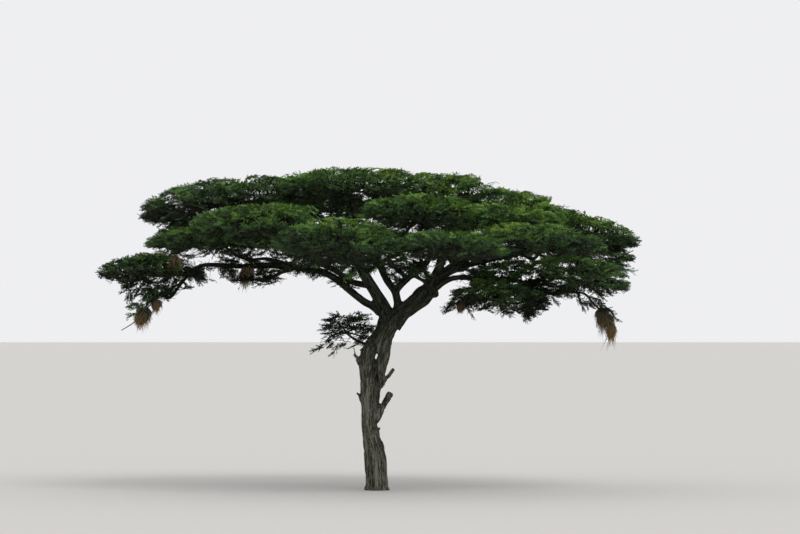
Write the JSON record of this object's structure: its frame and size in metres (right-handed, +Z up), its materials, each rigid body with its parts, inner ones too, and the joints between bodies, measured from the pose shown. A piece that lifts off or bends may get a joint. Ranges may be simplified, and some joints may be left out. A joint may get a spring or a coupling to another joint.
{
  "type": "umbrella acacia tree",
  "caption": "Flat-topped umbrella acacia: fluted trunk forking into spreading boughs that carry layered tiers of fine foliage and hanging grass nests.",
  "frame": {"origin": "middle of the flat cut under the trunk, at ground level", "axes": "+X to the right as seen from the front, -Y towards the front, +Z up"},
  "size_m": [18.5316, 15.5258, 10.9301],
  "materials": {
    "bark": "rough fissured bark",
    "limb_bark": "rough bark, darker in the crown's shade",
    "foliage_lit": "matt fine leaf sprays in the light",
    "foliage_shaded": "matt fine leaf sprays in the shade",
    "straw": "dry woven grass"
  },
  "bodies": {
    "root": {"back_left_tier": "foliage_lit", "back_left_tier_bough": "limb_bark", "back_right_tier": "foliage_lit", "back_right_tier_bough": "limb_bark", "back_tier": "foliage_lit", "back_tier_bough": "limb_bark", "back_top_tier": "foliage_lit", "front_left_tier": "foliage_shaded", "front_right_tier": "foliage_shaded", "front_right_tier_bough": "limb_bark", "front_top_tier": "foliage_lit", "left_back_tier": "foliage_lit", "left_back_tier_bough": "limb_bark", "left_cross_bough": "limb_bark", "left_front_tier": "foliage_lit", "left_front_tier_bough": "limb_bark", "left_hanging_spray": "foliage_shaded", "left_hanging_spray_bough": "limb_bark", "left_low_bough": "limb_bark", "left_low_fringe": "foliage_shaded", "left_low_fringe_bough": "limb_bark", "left_main_bough": "limb_bark", "left_middle_tier": "foliage_lit", "left_middle_tier_bough": "limb_bark", "left_nest_twig": "limb_bark", "left_tip_spray": "foliage_shaded", "left_upper_tier": "foliage_lit", "low_left_spray": "foliage_shaded", "middle_left_bough": "limb_bark", "middle_right_bough": "limb_bark", "middle_side_bough": "limb_bark", "nest_far_right": "straw", "nest_left_bough": "straw", "nest_left_low": "straw", "nest_left_low_small": "straw", "nest_left_middle": "straw", "right_back_tier": "foliage_lit", "right_back_tier_bough": "limb_bark", "right_crest_tier": "foliage_lit", "right_crest_tier_bough": "limb_bark", "right_front_tier": "foliage_lit", "right_front_tier_bough": "limb_bark", "right_hanging_branch": "limb_bark", "right_hanging_mass": "foliage_shaded", "right_long_bough": "limb_bark", "right_low_bough": "limb_bark", "right_low_tip_spray": "foliage_shaded", "right_low_tip_spray_bough": "limb_bark", "right_main_bough": "limb_bark", "right_short_limb": "limb_bark", "right_thin_limb": "limb_bark", "right_tip_tier": "foliage_lit", "right_top_tier": "foliage_lit", "right_under_spray": "foliage_shaded", "right_under_spray_bough": "limb_bark", "right_upper_bough": "limb_bark", "top_left_tier": "foliage_lit", "top_right_tier": "foliage_lit", "trunk": "bark"}
  },
  "joints": []
}
